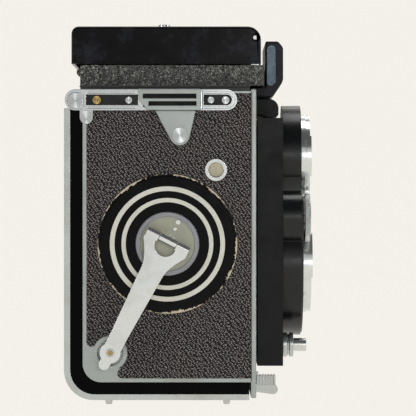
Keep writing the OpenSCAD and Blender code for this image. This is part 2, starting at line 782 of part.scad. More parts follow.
// Lens standard: a box open at the back that slides on four guide rods
standard_low = 14.5;
standard_high = 108.3;
standard_back = 36.7;
standard_front = 46.4;
rod_y_place = 24.8;
release_place = [-20, 22.05];
wheel_place = [21.4, 70.6];
module lens_standard() {
    color("#1a1c20") difference() {
        union() {
            difference() {
                forwards(standard_back, standard_front)
                    translate([-standard_half, standard_low])
                        square([2 * standard_half, standard_high - standard_low]);
                block([standard_back - 1, -standard_half + 1.5, standard_low + 1.5],
                    [standard_front - 1.5, standard_half - 1.5, standard_high - 1.5]);
            }
            for (y = [-rod_y_place, rod_y_place], z = [21, 103])
                rod_x([y, z], 3.2, standard_back, standard_front - 1.5);
        }
        for (y = [-rod_y_place, rod_y_place], z = [21, 103])
            rod_x([y, z], 2 + run_gap, standard_back - 1, standard_front - 1.5);
        rod_x([0, taking_z], 13, 40, 50);
        rod_x([0, viewing_z], 12.5, 40, 50);
        rod_x(release_place, 1.2 + run_gap, 40, 50);
    }
}

// Front cover: two round fields joined by ears that carry the setting wheels
cover_front = 53.8;
cover_step = 54.3;
module cover_outline(inset) {
    translate([0, taking_z]) circle(27.4 - inset);
    translate([0, viewing_z]) circle(19.8 - inset);
    for (s = [-1, 1]) translate([s * (wheel_place[0] - 0.6), wheel_place[1]]) circle(10.2 - inset);
    translate([-17.6 + inset, 66]) square([35.2 - 2 * inset, 24]);
}
module lens_cover() {
    color("#131518") difference() {
        union() {
            forwards(standard_front, cover_front) cover_outline(0);
            forwards(cover_front, cover_step) difference() {
                cover_outline(0.8);
                translate([-40, 78.5]) square([80, 40]);
            }
        }
        forwards(standard_front - 1, cover_front - 1.5) intersection() {
            cover_outline(1.5);
            translate([-40, standard_low]) square([80, standard_high - standard_low - 1.5]);
        }
        rod_x([0, taking_z], 13, 40, 60);
        rod_x([0, viewing_z], 12.5, 40, 60);
        for (s = [-1, 1]) rod_x([s * wheel_place[0], wheel_place[1]], 2 + run_gap, 50, 60);
    }
}

// Bright rings round the lenses, each with a bore and two lugs on its front edge for a lens shade
module lug(place, outer, x0, from, to) {
    forwards(x0, x0 + 0.5) translate(place) intersection() {
        difference() { circle(outer); circle(outer - 1.5); }
        polygon([[0, 0], for (a = [from, (from + to) / 2, to]) 2 * outer * [cos(a), sin(a)]]);
    }
}
module viewing_ring() {
    color("silver") {
        tube_x([0, viewing_z], 12.5, 11, 41, cover_front);
        tube_x([0, viewing_z], viewing_ring_r, 11, cover_front, 55.6);
        tube_x([0, viewing_z], viewing_ring_r - 0.4, 13, 55.6, 57.3);
        for (turn = [0, 180]) lug([0, viewing_z], viewing_ring_r - 0.4, 57.3, turn - 29, turn + 29);
    }
}
module taking_ring() {
    color("silver") {
        tube_x([0, taking_z], taking_ring_r, 11.5, cover_step, 56);
        tube_x([0, taking_z], taking_ring_r - 0.4, 15, 56, 57.6);
        for (turn = [0, 180]) lug([0, taking_z], taking_ring_r - 0.4, 57.6, turn - 42, turn + 15);
    }
}
module viewing_lens() {
    color("#7f8fb0") {
        rod_x([0, viewing_z], 11, 48.5, 51.5);
        rod_x([0, viewing_z], 11, 42, 44);
    }
}
module taking_lens() {
    color("#8f7fb0") {
        rod_x([0, taking_z], 11.5, 49, 52);
        rod_x([0, taking_z], 11.5, 39.5, 42);
    }
}
module shutter_housing() {
    color("#26262a") {
        tube_x([0, taking_z], 20, 11.5, 38, 44.9);
        tube_x([0, taking_z], 13, 11.5, 44.9, cover_step);
    }
}

// Knurled setting wheels between the lenses
module setting_wheel(side) {
    translate([0, side * wheel_place[0], wheel_place[1]]) {
        forwards(54.9, 56.8) knurled(wheel_r, 72, 0.35);
        rod_x([0, 0], 2, 47, 54.9);
        rod_x([0, 0], wheel_r - 2.5, 56.8, 57.1);
    }
}
module aperture_wheel() { color("gainsboro") setting_wheel(1); }
module speed_wheel() { color("gainsboro") setting_wheel(-1); }

// Shutter release: a button in a grooved collar, bored for a cable release
module release_button() {
    color("silver") difference() {
        union() {
            rod_x(release_place, 1.2, 43.5, 50);
            rod_x(release_place, 2.5, 50, 55.5);
        }
        rod_x(release_place, 1, 51.5, 56);
    }
}
module release_collar() {
    color("silver") difference() {
        rod_x(release_place, 4.65, standard_front, 50.5);
        tube_x(release_place, 6, 4, 48.2, 49);
        rod_x(release_place, 2.5 + run_gap, 46.9, 51);
        rod_x(release_place, 1.2 + run_gap, 46, 51);
    }
}

// Flash socket on the far side of the lens standard
module sync_socket() {
    color("gainsboro") difference() {
        union() {
            rod_y([41.5, 30], 3, standard_half, standard_half + 0.8);
            rod_y([41.5, 30], 1.75, standard_half + 0.8, standard_half + 4);
        }
        rod_y([41.5, 30], 0.6, standard_half + 1.2, standard_half + 5);
    }
}

body_casting();
side_plates();
side_leathers();
front_plate();
strap_rails();
strap_bridges();
rail_screws();
brass_screws();
crank_plate();
crank_rings();
counter_bezel();
counter_glass();
mirror_glass();
mirror_cradle();
focusing_screen();
hood_base();
hood_trim();
nameplate_block();
finder_cap();
hinge_pins();
door_shell();
door_frame();
door_leather();
feet();
tripod_bush();
back_lock_ring();
pressure_plate();
crank_hub();
crank_gear();
crank_pins();
crank_arm();
crank_knob();
idler_gear();
take_up_gear();
take_up_spool();
supply_spool();
counter_dial();
film_roller();
focus_lever();
lens_standard();
lens_cover();
viewing_ring();
taking_ring();
viewing_lens();
taking_lens();
shutter_housing();
aperture_wheel();
speed_wheel();
release_button();
release_collar();
sync_socket();
hood_lid();
lid_catch();
side_flap_left();
side_flap_right();
rear_flap();
magnifier_frame();
magnifier_lens();
take_up_knob();
supply_knob();
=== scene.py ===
# Twin lens reflex camera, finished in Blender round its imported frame.
# Metres, +X towards the lenses, +Z up, crank on the -Y side.
import json
import math

import bmesh
import bpy
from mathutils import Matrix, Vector


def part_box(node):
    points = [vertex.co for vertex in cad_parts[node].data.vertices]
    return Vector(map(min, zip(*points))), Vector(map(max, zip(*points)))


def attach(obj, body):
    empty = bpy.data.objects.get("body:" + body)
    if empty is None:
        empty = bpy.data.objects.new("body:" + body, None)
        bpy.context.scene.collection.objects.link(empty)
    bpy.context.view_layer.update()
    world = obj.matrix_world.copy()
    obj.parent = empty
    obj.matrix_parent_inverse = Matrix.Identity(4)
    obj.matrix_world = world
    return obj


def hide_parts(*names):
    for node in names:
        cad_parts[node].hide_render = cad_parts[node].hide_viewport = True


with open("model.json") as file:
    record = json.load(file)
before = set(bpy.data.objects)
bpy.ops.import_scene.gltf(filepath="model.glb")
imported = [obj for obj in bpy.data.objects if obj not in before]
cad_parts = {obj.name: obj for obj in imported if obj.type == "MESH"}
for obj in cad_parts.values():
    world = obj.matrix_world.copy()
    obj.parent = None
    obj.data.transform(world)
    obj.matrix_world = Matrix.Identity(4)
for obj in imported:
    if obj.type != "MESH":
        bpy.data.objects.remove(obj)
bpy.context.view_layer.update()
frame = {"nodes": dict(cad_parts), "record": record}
scene = bpy.context.scene

# ---------------------------------------------------------------------------
# Viewpoint: a long lens square to the crank side, so that the body's edges
# stay parallel.
eye_distance = 1.0
frame_width = 0.156
sensor_width = 36
crank_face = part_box("side_leathers")[0][1]
eye = Vector((0.018, crank_face - eye_distance, 0.0742))

eye_data = bpy.data.cameras.new("side_view")
eye_data.sensor_width = sensor_width
eye_data.lens = sensor_width * eye_distance / frame_width
eye_data.clip_start = 0.05
eye_data.clip_end = 20
eye_object = bpy.data.objects.new("side_view", eye_data)
eye_object.location = eye
eye_object.rotation_euler = (math.radians(90), 0, 0)
scene.collection.objects.link(eye_object)
scene.camera = eye_object


def linear(code):
    """An sRGB hex colour as the linear RGBA that Blender's nodes take."""
    parts = [int(code[i:i + 2], 16) / 255 for i in (1, 3, 5)]
    return [v / 12.92 if v <= 0.04045 else ((v + 0.055) / 1.055) ** 2.4 for v in parts] + [1.0]


def add(tree, kind, inputs=None, **settings):
    """Adds one node with its settings; an input is a value or another node's output."""
    node = tree.nodes.new(kind)
    for key, value in settings.items():
        setattr(node, key, value)
    for key, value in (inputs or {}).items():
        if isinstance(value, bpy.types.NodeSocket):
            tree.links.new(value, node.inputs[key])
        else:
            node.inputs[key].default_value = value
    return node


def blank(name):
    """An empty node material: its tree, its surface shader and its Object coordinates."""
    made = bpy.data.materials.new(name)
    made.use_nodes = True
    tree = made.node_tree
    tree.nodes.clear()
    shader = add(tree, "ShaderNodeBsdfPrincipled")
    add(tree, "ShaderNodeOutputMaterial", {"Surface": shader.outputs[0]})
    place = add(tree, "ShaderNodeTexCoord").outputs["Object"]
    return made, tree, shader, place


# ---------------------------------------------------------------------------
# Photographic sweep: warm white paper that runs along the table and curves up
# behind the camera. It is lit from behind, so it is even and takes no shadow.
def paper():
    """Matt paper that glows a little, as it does when it is lit from behind."""
    made, _, shader, _ = blank("matt_white_paper")
    shader.inputs["Base Color"].default_value = linear("#151514")
    shader.inputs["Roughness"].default_value = 1.0
    shader.inputs["Specular IOR Level"].default_value = 0.0
    shader.inputs["Emission Color"].default_value = linear("#f4f1ea")
    shader.inputs["Emission Strength"].default_value = 0.99
    return made


def sweep(half_width, front, back, radius, height, steps=16):
    """The paper: flat from front to back, then a quarter turn up to its top edge."""
    profile = [(front, 0.0), (back, 0.0)]
    for step in range(1, steps + 1):
        turn = math.radians(90 * step / steps)
        profile.append((back + radius * math.sin(turn), radius * (1 - math.cos(turn))))
    profile.append((back + radius, height))
    verts = [(x, y, z) for y, z in profile for x in (-half_width, half_width)]
    faces = [(2 * i, 2 * i + 1, 2 * i + 3, 2 * i + 2) for i in range(len(profile) - 1)]
    mesh = bpy.data.meshes.new("paper_sweep")
    mesh.from_pydata(verts, [], faces)
    mesh.shade_smooth()
    mesh.materials.append(paper())
    made = bpy.data.objects.new("paper_sweep", mesh)
    scene.collection.objects.link(made)
    return made


sweep(half_width=6, front=-4, back=1.6, radius=1.0, height=4)

# Soft boxes: a broad panel behind the viewer, a small bright box to its right,
# one on each side, one above and one behind, in a dim grey room.
world = bpy.data.worlds.new("grey_room")
world.use_nodes = True
world.node_tree.nodes["Background"].inputs["Color"].default_value = linear("#f4f6f8")
world.node_tree.nodes["Background"].inputs["Strength"].default_value = 0.13
scene.world = world


def soft_box(name, place, size, power):
    """A rectangular light in watts that faces the middle of the camera."""
    data = bpy.data.lights.new(name, "AREA")
    data.shape = "RECTANGLE"
    data.size = size[0]
    data.size_y = size[1]
    data.energy = power
    made = bpy.data.objects.new(name, data)
    made.location = place
    made.rotation_euler = (middle - Vector(place)).to_track_quat("-Z", "Y").to_euler()
    scene.collection.objects.link(made)


middle = Vector((0.01, 0.0, 0.07))
soft_box("broad_panel", (0.0, -1.9, 0.25), (1.5, 1.3), 2.9)
soft_box("bright_box", (0.2, -1.3, 0.19), (0.06, 0.1), 0.6)
soft_box("left_box", (-1.0, -0.7, 0.4), (0.4, 0.7), 4)
soft_box("right_box", (0.95, -0.35, 0.4), (0.3, 0.8), 2.5)
soft_box("top_box", (0.0, 0.15, 1.1), (0.7, 0.5), 4)
soft_box("back_box", (0.5, 1.0, 0.8), (0.8, 0.6), 3)

scene.view_settings.view_transform = "Standard"
scene.view_settings.look = "None"
scene.view_settings.exposure = 0.0

# ---------------------------------------------------------------------------
# Shell of the camera: an aluminium casting under satin black stove enamel. Its
# inside is seen only with the back open. homes says which body of the frame
# each CAD node has.
homes = {node: body for body, nodes in frame["record"]["behaviour"]["bodies"].items() for node in nodes}
mm = 0.001


def settle(made):
    """Turns an object with modifiers into the plain mesh that they give."""
    seen = made.evaluated_get(bpy.context.evaluated_depsgraph_get())
    mesh = bpy.data.meshes.new_from_object(seen)
    made.modifiers.clear()
    made.data = mesh


def sharp_edges(shape, limit):
    """The edges between two faces that meet at more than the limit, in radians."""
    return [e for e in shape.edges if len(e.link_faces) == 2 and e.calc_face_angle(0) > limit]


def softened(node, edge, material, segments=2, sharp=32, crown=0.0):
    """A machined copy of a CAD node: its points are merged and its sharp edges rounded.

    A crown rounds the outline of the two side faces by that much first. Flat faces
    then shade flat, and only the rounded edges shade round.
    """
    shape = bmesh.new()
    shape.from_mesh(frame["nodes"][node].data)
    bmesh.ops.remove_doubles(shape, verts=shape.verts, dist=1e-6)
    bmesh.ops.dissolve_limit(shape, angle_limit=math.radians(1.5), verts=shape.verts, edges=shape.edges)
    limit = math.radians(sharp)
    if crown:
        low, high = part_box(node)
        rim = [e for e in sharp_edges(shape, limit)
               if all(abs(v.co.y) > high[1] - 0.01 * mm for v in e.verts)
               and max(v.co.z for v in e.verts) > low[2] + 1 * mm]
        bmesh.ops.bevel(shape, geom=rim, offset=crown, segments=5, profile=0.5, affect="EDGES",
                        clamp_overlap=False)
    bmesh.ops.bevel(shape, geom=sharp_edges(shape, limit), offset=edge, segments=segments, profile=0.5,
                    affect="EDGES", clamp_overlap=True)
    mesh = bpy.data.meshes.new(node + "_softened")
    shape.to_mesh(mesh)
    shape.free()
    mesh.shade_smooth()
    mesh.set_sharp_from_angle(angle=limit)
    mesh.materials.clear()
    mesh.materials.append(material)
    made = bpy.data.objects.new(node + "_softened", mesh)
    scene.collection.objects.link(made)
    weigh = made.modifiers.new("weighted", "WEIGHTED_NORMAL")
    weigh.weight = 100
    weigh.keep_sharp = True
    settle(made)
    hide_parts(node)
    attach(made, homes[node])
    return made


def repaint(made, material, chosen):
    """Gives the faces whose corners all pass a test another finish."""
    made.data.materials.append(material)
    for face in made.data.polygons:
        if all(chosen(made.data.vertices[corner].co) for corner in face.vertices):
            face.material_index = len(made.data.materials) - 1


def dress(node, material):
    """Gives a CAD node that keeps its shape its finish."""
    target = frame["nodes"][node]
    target.data.materials.clear()
    target.data.materials.append(material)


def noise_map(tree, place, grain, detail=4, roughness=0.5):
    """Noise whose features are about grain millimetres across, from 0 to 1."""
    return add(tree, "ShaderNodeTexNoise", {"Vector": place, "Scale": 1 / (grain * mm), "Detail": detail,
                                            "Roughness": roughness}).outputs["Fac"]


def ramp(tree, value, stops):
    """A colour ramp through (position, hex colour) stops."""
    node = add(tree, "ShaderNodeValToRGB", {"Fac": value})
    band = node.color_ramp
    while len(band.elements) < len(stops):
        band.elements.new(0.5)
    for element, (at, code) in zip(band.elements, stops):
        element.position = at
        element.color = linear(code)
    return node.outputs["Color"]


def spread(tree, value, low, high, start=0.3, end=0.7):
    """Maps the part of a value between start and end to low and high."""
    return add(tree, "ShaderNodeMapRange", {"Value": value, "From Min": start, "From Max": end,
                                            "To Min": low, "To Max": high}).outputs["Result"]


def mixed(tree, factor, first, second):
    """Blends two colours, each given as a hex code or as another node's output."""
    ends = [linear(c) if isinstance(c, str) else c for c in (first, second)]
    return add(tree, "ShaderNodeMix", {"Factor": factor, 6: ends[0], 7: ends[1]},
               data_type="RGBA").outputs[2]


def bump(tree, shader, height, depth, strength=1.0):
    """Relief whose full height is depth millimetres."""
    node = add(tree, "ShaderNodeBump", {"Height": height, "Distance": depth * mm, "Strength": strength})
    tree.links.new(node.outputs["Normal"], shader.inputs["Normal"])


def enamel(name, code, shine, grain=0.35, depth=0.01, gloss=0.5):
    """Stove enamel: a hard paint film with a fine orange peel and handling marks in its gloss."""
    made, tree, shader, place = blank(name)
    marks = noise_map(tree, place, 9, 6, 0.65)
    shade = add(tree, "ShaderNodeHueSaturation", {"Color": linear(code),
                                                  "Value": spread(tree, marks, 0.85, 1.2)})
    tree.links.new(shade.outputs["Color"], shader.inputs["Base Color"])
    tree.links.new(spread(tree, marks, shine * 0.8, shine * 1.35), shader.inputs["Roughness"])
    shader.inputs["Specular IOR Level"].default_value = gloss
    bump(tree, shader, noise_map(tree, place, grain, 2), depth)
    return made


satin_black = enamel("satin_black_enamel", "#08090b", 0.34, gloss=0.22)
chamber_black = enamel("matt_black_chamber_paint", "#0c0d0e", 0.75, 0.2, 0.03, 0.3)
dress("body_casting", chamber_black)
dress("mirror_cradle", chamber_black)


# ---------------------------------------------------------------------------
# Trim: brass side plates and a front plate under frosted nickel. Years of
# handling leave fine scratches and a faint yellow-grey bloom.
def plating(name, code, shine, bloom="#a4a29a", scratch=0.006):
    """Plated metal with a bloom of another colour; scratch is the relief in millimetres."""
    made, tree, shader, place = blank(name)
    cloud = noise_map(tree, place, 14, 5, 0.6)
    tree.links.new(mixed(tree, spread(tree, cloud, 0.0, 0.55, 0.45, 0.75), code, bloom),
                   shader.inputs["Base Color"])
    shader.inputs["Metallic"].default_value = 1.0
    lay = add(tree, "ShaderNodeMapping", {"Vector": place, "Scale": (1, 1, 14)})
    hairs = noise_map(tree, lay.outputs["Vector"], 1.6, 5, 0.7)
    tree.links.new(spread(tree, hairs, shine * 0.75, shine * 1.4), shader.inputs["Roughness"])
    bump(tree, shader, hairs, scratch)
    return made


satin_chrome = plating("satin_chrome_plating", "#c3c7c6", 0.26)
bright_chrome = plating("bright_chrome_plating", "#dde0df", 0.16, "#b4b5b0", 0.002)
frosted_nickel = plating("frosted_nickel_plating", "#a9afad", 0.34, "#8f9188")
softened("side_plates", 0.12 * mm, frosted_nickel)
softened("front_plate", 0.35 * mm, frosted_nickel)


# ---------------------------------------------------------------------------
# Covering: pebbled calf leather, glued into the plates' recesses. The pebbles
# lie in slanting rows a millimetre apart, with painted highlights and dust on
# their tips, painted shade in the creases and brown wear.
def pebbled_leather(name, pebble, slant):
    """Leather whose pebbles are that many millimetres wide, in rows slanting by that many degrees."""
    made, tree, shader, place = blank(name)
    axes = add(tree, "ShaderNodeSeparateXYZ", {"Vector": place})
    along = add(tree, "ShaderNodeMath", {0: axes.outputs["X"], 1: axes.outputs["Y"]}, operation="ADD")
    sheet = add(tree, "ShaderNodeCombineXYZ", {"X": along.outputs[0], "Y": axes.outputs["Z"]})
    drift = add(tree, "ShaderNodeTexNoise", {"Vector": sheet.outputs[0], "Scale": 1 / (2.6 * mm),
                                             "Detail": 2})
    shift = add(tree, "ShaderNodeVectorMath", {0: drift.outputs["Color"], 1: (0.5, 0.5, 0.5)},
                operation="SUBTRACT")
    scaled = add(tree, "ShaderNodeVectorMath", {0: shift.outputs[0], "Scale": 0.7 * mm}, operation="SCALE")
    warped = add(tree, "ShaderNodeVectorMath", {0: sheet.outputs[0], 1: scaled.outputs[0]}, operation="ADD")
    rows = add(tree, "ShaderNodeMapping", {"Vector": warped.outputs[0],
                                           "Rotation": (0, 0, math.radians(slant))})
    drawn = add(tree, "ShaderNodeVectorMath", {0: rows.outputs[0], 1: (0.72, 1.3, 1)}, operation="MULTIPLY")
    cells = add(tree, "ShaderNodeTexVoronoi", {"Vector": drawn.outputs[0], "Scale": 1 / (pebble * mm),
                                               "Randomness": 0.55}, voronoi_dimensions="2D")
    crests = spread(tree, cells.outputs["Distance"], 1.0, 0.0, 0.05, 0.52)
    shine = spread(tree, cells.outputs["Distance"], 1.0, 0.0, 0.1, 0.36)
    fine = noise_map(tree, place, 0.3, 3, 0.6)
    wear = noise_map(tree, place, 15, 5, 0.62)
    # Both ramps run dark at the pebbles' edges: painted shade in the creases.
    body = ramp(tree, crests, [(0.0, "#040404"), (0.45, "#161415"), (1.0, "#413d3e")])
    wear_and_crease_shade = ramp(tree, crests, [(0.0, "#070404"), (0.45, "#231815"), (1.0, "#5a453e")])
    hide = mixed(tree, spread(tree, wear, 0.0, 1.0, 0.48, 0.66), body, wear_and_crease_shade)
    # Near-white on the pebble tips, broken up by fine noise: painted highlights with some dust.
    tip_highlights_and_dust = add(tree, "ShaderNodeMath", {0: shine, 1: spread(tree, fine, 0.25, 1.0, 0.35, 0.62)},
                 operation="MULTIPLY")
    tree.links.new(mixed(tree, tip_highlights_and_dust.outputs[0], hide, "#bdb5b4"), shader.inputs["Base Color"])
    tree.links.new(spread(tree, crests, 0.75, 0.4, 0.0, 1.0), shader.inputs["Roughness"])
    shader.inputs["Specular IOR Level"].default_value = 0.4
    relief = add(tree, "ShaderNodeMath", {0: fine, 1: 0.2, 2: crests}, operation="MULTIPLY_ADD")
    bump(tree, shader, relief.outputs[0], 0.2)
    return made


leather = pebbled_leather("pebbled_calf_leather", 0.8, -35)
softened("side_leathers", 0.2 * mm, leather)

# ---------------------------------------------------------------------------
# Strap rails: chromed brass bars with inlaid black panels, the slotted strap
# bridges and their tongues, held by screws and rivets with turned heads.
rail_chrome = plating("polished_rail_plating", "#d2d5d6", 0.2, "#bdbfbf", 0.0005)
softened("strap_rails", 0.3 * mm, rail_chrome)


def turned_metal(name, code, shine):
    """Metal finished on a lathe: its grain runs round the head that each face belongs to."""
    made, tree, shader, place = blank(name)
    shader.inputs["Base Color"].default_value = linear(code)
    shader.inputs["Metallic"].default_value = 1.0
    shader.inputs["Anisotropic"].default_value = 0.85
    tree.links.new(spread(tree, noise_map(tree, place, 0.4, 4), shine * 0.8, shine * 1.3),
                   shader.inputs["Roughness"])
    head = add(tree, "ShaderNodeAttribute", attribute_name="head").outputs["Vector"]
    arm = add(tree, "ShaderNodeVectorMath", {0: place, 1: head}, operation="SUBTRACT")
    grain = add(tree, "ShaderNodeVectorMath", {0: arm.outputs[0], 1: (0, 1, 0)}, operation="CROSS_PRODUCT")
    tree.links.new(grain.outputs[0], shader.inputs["Tangent"])
    return made


def mark_heads(made):
    """Stores the middle of the separate piece that each face belongs to."""
    shape = bmesh.new()
    shape.from_mesh(made.data)
    layer = shape.faces.layers.float_vector.new("head")
    left = set(shape.verts)
    while left:
        piece = {left.pop()}
        newest = piece
        while newest:
            newest = {e.other_vert(v) for v in newest for e in v.link_edges} - piece
            piece |= newest
        left -= piece
        centre = sum((v.co for v in piece), Vector()) / len(piece)
        for face in {f for v in piece for f in v.link_faces}:
            face[layer] = centre
    shape.to_mesh(made.data)
    shape.free()


softened("strap_bridges", 0.25 * mm, frosted_nickel)
steel = plating("turned_steel", "#c3c4c1", 0.22, "#8f8a7c")
aged_brass = plating("aged_brass", "#b39a66", 0.3, "#80663a")
mark_heads(softened("rail_screws", 0.12 * mm, turned_metal("turned_chrome_heads", "#c4c8c8", 0.24)))
mark_heads(softened("brass_screws", 0.12 * mm, turned_metal("turned_brass_heads", "#b39a66", 0.26)))
pitch_black = enamel("black_panel_fill", "#0b0b0d", 0.5)


def inlay(name, outline, face, thickness, material):
    """A flat plate on both sides of the camera; its outline is (x, z) in millimetres."""
    shape = bmesh.new()
    for side in (-1, 1):
        loop = [shape.verts.new((x * mm, side * face * mm, z * mm)) for x, z in outline]
        thick = bmesh.ops.extrude_face_region(shape, geom=[shape.faces.new(loop)])
        moved = [v for v in thick["geom"] if isinstance(v, bmesh.types.BMVert)]
        bmesh.ops.translate(shape, verts=moved, vec=(0, -side * thickness * mm, 0))
    bmesh.ops.recalc_face_normals(shape, faces=shape.faces)
    mesh = bpy.data.meshes.new(name)
    shape.to_mesh(mesh)
    shape.free()
    mesh.materials.append(material)
    made = bpy.data.objects.new(name, mesh)
    scene.collection.objects.link(made)
    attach(made, "camera_body")


def oblong(x_low, x_high, centre, half_height):
    """The corners of an upright rectangle about a height."""
    low, high = centre - half_height, centre + half_height
    return [(x_low, low), (x_low, high), (x_high, high), (x_high, low)]


rail_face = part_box("strap_rails")[1][1] / mm
panel_face, panel_height, panel_half = rail_face - 0.85, 114.65, 1.95
pocket_face, pocket_height, pocket_half = rail_face - 2.35, 114.7, 2.6
tip_x = 24.95
tip = [(tip_x + panel_half * math.sin(turn), panel_height + panel_half * math.cos(turn))
       for turn in (math.radians(15 * step) for step in range(13))]
inlay("rail_panel_rear", oblong(-27.6, -8.1, panel_height, panel_half), panel_face, 0.3, pitch_black)
inlay("rail_panel_front", oblong(16.4, tip_x, panel_height, panel_half)[:2] + tip, panel_face, 0.3,
      pitch_black)
inlay("bridge_pocket_floor", oblong(-6.2, 14.1, pocket_height, pocket_half), pocket_face, 0.1, pitch_black)


# ---------------------------------------------------------------------------
# Crank: a fixed black disc with two bright rings, the turning hub, and the
# folding arm with its knob. The disc's rim is chipped down to cream primer.
def chipped_lacquer(name, centre, rim, border=2.2 * mm):
    """Black lacquer on a disc that flakes off to primer in a border inside its rim."""
    made, tree, shader, place = blank(name)
    flat = add(tree, "ShaderNodeVectorMath", {0: place, 1: centre}, operation="SUBTRACT")
    level = add(tree, "ShaderNodeVectorMath", {0: flat.outputs[0], 1: (1, 0, 1)}, operation="MULTIPLY")
    reach = add(tree, "ShaderNodeVectorMath", {0: level.outputs[0]}, operation="LENGTH")
    edge = spread(tree, reach.outputs["Value"], 0.0, 1.0, rim - border, rim)
    flakes = noise_map(tree, place, 1.6, 5, 0.75)
    patches = noise_map(tree, place, 13, 2)
    sum_up = add(tree, "ShaderNodeMath", {0: flakes, 1: patches}, operation="ADD")
    loss = add(tree, "ShaderNodeMath", {0: edge, 1: 0.62, 2: sum_up.outputs[0]}, operation="MULTIPLY_ADD")
    bare = spread(tree, loss.outputs[0], 0.0, 1.0, 1.52, 1.56)
    tree.links.new(mixed(tree, bare, "#030304", "#d9cdb4"), shader.inputs["Base Color"])
    marks = noise_map(tree, place, 6, 5, 0.7)
    tree.links.new(spread(tree, marks, 0.12, 0.26), shader.inputs["Roughness"])
    shader.inputs["Specular IOR Level"].default_value = 0.12
    sunk = add(tree, "ShaderNodeMath", {0: 1.0, 1: bare}, operation="SUBTRACT")
    bump(tree, shader, sunk.outputs[0], 0.08)
    return made


disc_low, disc_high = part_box("crank_plate")
disc_centre = Vector([(a + b) / 2 for a, b in zip(disc_low, disc_high)])
disc_radius = (disc_high[0] - disc_low[0]) / 2
softened("crank_plate", 0.35 * mm, chipped_lacquer("chipped_black_lacquer", disc_centre, disc_radius))
softened("crank_rings", 0.1 * mm, plating("brushed_aluminium_rings", "#e3e2d9", 0.5, "#cfccbe"))
hub = softened("crank_hub", 0.25 * mm, plating("worn_nickel_hub", "#a3a596", 0.38, "#8d8a78", 0.01))


def from_axis(point, axis):
    """Distance of a point from an axis that runs along Y, given as (x, z) in millimetres."""
    return math.hypot(point.x - axis[0] * mm, point.z - axis[1] * mm)


# The hub has a dull bezel round its face and two bright studs that stand on it.
crank_axis = (disc_centre.x / mm, disc_centre.z / mm)
bezel_inside, stud_reach, stud_foot = 10.1 * mm, 10 * mm, -41.45 * mm
bezel_grey = plating("dull_chrome_bezel", "#8e8f94", 0.3, "#777880")
repaint(hub, bezel_grey, lambda point: from_axis(point, crank_axis) > bezel_inside)
repaint(hub, bright_chrome,
        lambda point: point.y < stud_foot and from_axis(point, crank_axis) < stud_reach)
softened("crank_arm", 0.45 * mm, bright_chrome, 3)
softened("crank_knob", 0.5 * mm, bright_chrome, 3)
knob_low, knob_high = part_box("crank_knob")
knob_axis = ((knob_low[0] + knob_high[0]) / 2 / mm, (knob_low[2] + knob_high[2]) / 2 / mm)
knob_rivet = 1.05 * mm
pins = softened("crank_pins", 0.08 * mm, steel)
repaint(pins, aged_brass, lambda point: from_axis(point, knob_axis) < knob_rivet)

# ---------------------------------------------------------------------------
# Film counter: a cream dial under a small domed window in a chromed bezel.
softened("counter_bezel", 0.2 * mm, bright_chrome)


def optic(name, tint, cover, coat):
    """Polished glass: cover is how much of it is seen, coat how strongly it is coated."""
    made, _, shader, _ = blank(name)
    shader.inputs["Base Color"].default_value = linear(tint)
    shader.inputs["Roughness"].default_value = 0.03
    shader.inputs["IOR"].default_value = 1.52
    shader.inputs["Alpha"].default_value = cover
    shader.inputs["Coat Weight"].default_value = coat
    shader.inputs["Coat Tint"].default_value = linear("#b9a6ff")
    return made


softened("counter_glass", 0.25 * mm, optic("counter_window_glass", "#efe9cf", 0.3, 0.0), 3)
dress("counter_dial", enamel("cream_dial_paint", "#ddd8c0", 0.55))

# Its numerals run round the dial with their feet outwards, so that the one in
# the window stands upright.
dial_low, dial_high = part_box("counter_dial")
dial_middle = Vector(((dial_low[0] + dial_high[0]) / 2, dial_low[1], (dial_low[2] + dial_high[2]) / 2))
numeral_count, numeral_height, numeral_ring, ink = 12, 2.3 * mm, 5.5 * mm, 0.02 * mm
digits = bmesh.new()
for number in range(numeral_count):
    words = bpy.data.curves.new("numeral", "FONT")
    words.body = str(number + 1)
    words.size = numeral_height
    words.align_x = "CENTER"
    words.align_y = "CENTER"
    words.extrude = ink
    stamp = bpy.data.objects.new("numeral", words)
    drawn = bpy.data.meshes.new_from_object(stamp)
    turn = math.radians(360 / numeral_count * number)
    for v in drawn.vertices:
        x, z = v.co.x, v.co.y - numeral_ring
        v.co = dial_middle + Vector((x * math.cos(turn) + z * math.sin(turn), -ink - v.co.z,
                                     z * math.cos(turn) - x * math.sin(turn)))
    digits.from_mesh(drawn)
    bpy.data.objects.remove(stamp)
mesh = bpy.data.meshes.new("dial_numerals")
digits.to_mesh(mesh)
digits.free()
mesh.materials.append(enamel("grey_dial_ink", "#55554c", 0.5))
numerals = bpy.data.objects.new("dial_numerals", mesh)
scene.collection.objects.link(numerals)
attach(numerals, homes["counter_dial"])

# ---------------------------------------------------------------------------
# Finder: a front-silvered mirror, and a ground-glass screen under the hood.
made, tree, shader, place = blank("silvered_mirror")
shader.inputs["Base Color"].default_value = linear("#e6e8ea")
shader.inputs["Metallic"].default_value = 1.0
tree.links.new(spread(tree, noise_map(tree, place, 12, 4), 0.02, 0.08), shader.inputs["Roughness"])
dress("mirror_glass", made)

made, tree, shader, place = blank("ground_glass")
shader.inputs["Base Color"].default_value = linear("#dfe3dc")
shader.inputs["Transmission Weight"].default_value = 0.6
shader.inputs["Roughness"].default_value = 0.45
bump(tree, shader, noise_map(tree, place, 0.15, 2), 0.01)
softened("focusing_screen", 0.2 * mm, made)


